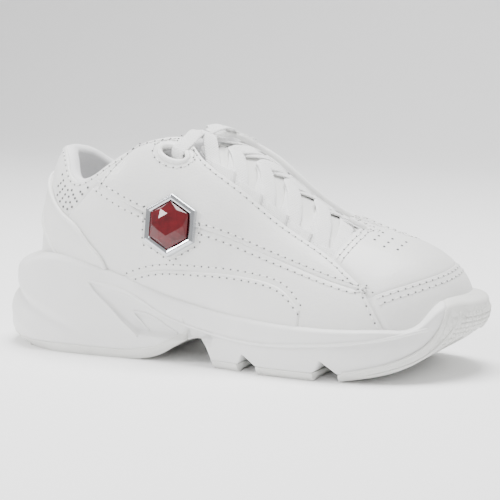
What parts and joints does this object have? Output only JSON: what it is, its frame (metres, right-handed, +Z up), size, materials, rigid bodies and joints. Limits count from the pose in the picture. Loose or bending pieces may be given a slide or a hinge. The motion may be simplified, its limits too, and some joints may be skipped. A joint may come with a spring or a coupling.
{
  "type": "cheer shoe",
  "caption": "Low white leather cheer shoe for the right foot with a sculpted foam sole, lace loops, padded collar and a removable coloured badge gem.",
  "frame": {"origin": "on the ground, under the middle of the shoe's length and width", "axes": "+X from heel to toe, +Z up from the ground, -Y towards the outer (lateral) side of a right foot"},
  "size_m": [0.2223, 0.0838, 0.1001],
  "materials": {
    "outsole_rubber": "white moulded rubber with a fine grid texture",
    "midsole_foam": "white moulded EVA foam, satin skin",
    "shank_plastic": "glass-filled nylon",
    "board_fabric": "needled felt board",
    "sockliner_fabric": "knitted cover on foam",
    "upper_leather": "white coated leather, fine grain, satin",
    "lining_fabric": "white knitted mesh lining",
    "stiffener_board": "thermoplastic stiffener",
    "padding_foam": "open-cell foam padding",
    "loop_webbing": "woven tape",
    "lace_cotton": "flat woven lace",
    "eyelet_plastic": "moulded eyelet rim",
    "badge_chrome": "bright plated",
    "badge_gem": "deep red, faceted, clear coated"
  },
  "bodies": {
    "shoe": {"heel_outsole": "outsole_rubber", "rear_forefoot_pod": "outsole_rubber", "middle_forefoot_pod": "outsole_rubber", "toe_outsole": "outsole_rubber", "midsole": "midsole_foam", "shank_plate": "shank_plastic", "strobel_board": "board_fabric", "lateral_quarter": "upper_leather", "medial_quarter": "upper_leather", "lateral_lower_quarter": "upper_leather", "medial_lower_quarter": "upper_leather", "lateral_saddle": "upper_leather", "medial_saddle": "upper_leather", "heel_strap": "upper_leather", "backstay": "upper_leather", "collar_panel": "upper_leather", "vamp": "upper_leather", "toe_cap": "upper_leather", "vamp_lining": "lining_fabric", "toe_lining": "lining_fabric", "lateral_lining": "lining_fabric", "medial_lining": "lining_fabric", "heel_lining": "lining_fabric", "collar_lining": "lining_fabric", "toe_puff": "stiffener_board", "heel_counter": "stiffener_board", "collar_padding": "padding_foam", "lateral_lace_loops": "loop_webbing", "medial_lace_loops": "loop_webbing", "lace": "lace_cotton", "lateral_eyelet_ring": "eyelet_plastic", "medial_eyelet_ring": "eyelet_plastic", "gem_frame": "badge_chrome"},
    "tongue": {"tongue": "upper_leather", "tongue_padding": "padding_foam", "tongue_lining": "lining_fabric"},
    "sockliner": {"sockliner": "sockliner_fabric"},
    "gem_insert": {"gem_insert": "badge_gem"}
  },
  "joints": [
    {"name": "tongue_fold", "type": "hinge", "parent": "shoe", "child": "tongue", "pos_m": [0.0565, 0.00825, 0.054], "axis": [0, -1, 0], "range_deg": [0, 8], "stiffness_Nm_per_rad": 0.15},
    {"name": "sockliner_lift", "type": "hinge", "parent": "shoe", "child": "sockliner", "pos_m": [0.1005, 0.00425, 0.0165], "axis": [0, 1, 0], "range_deg": [0, 6]},
    {"name": "gem_pull", "type": "slide", "parent": "shoe", "child": "gem_insert", "axis": [-0.0006, -0.9837, 0.1797], "range_m": [0, 0.012]}
  ]
}
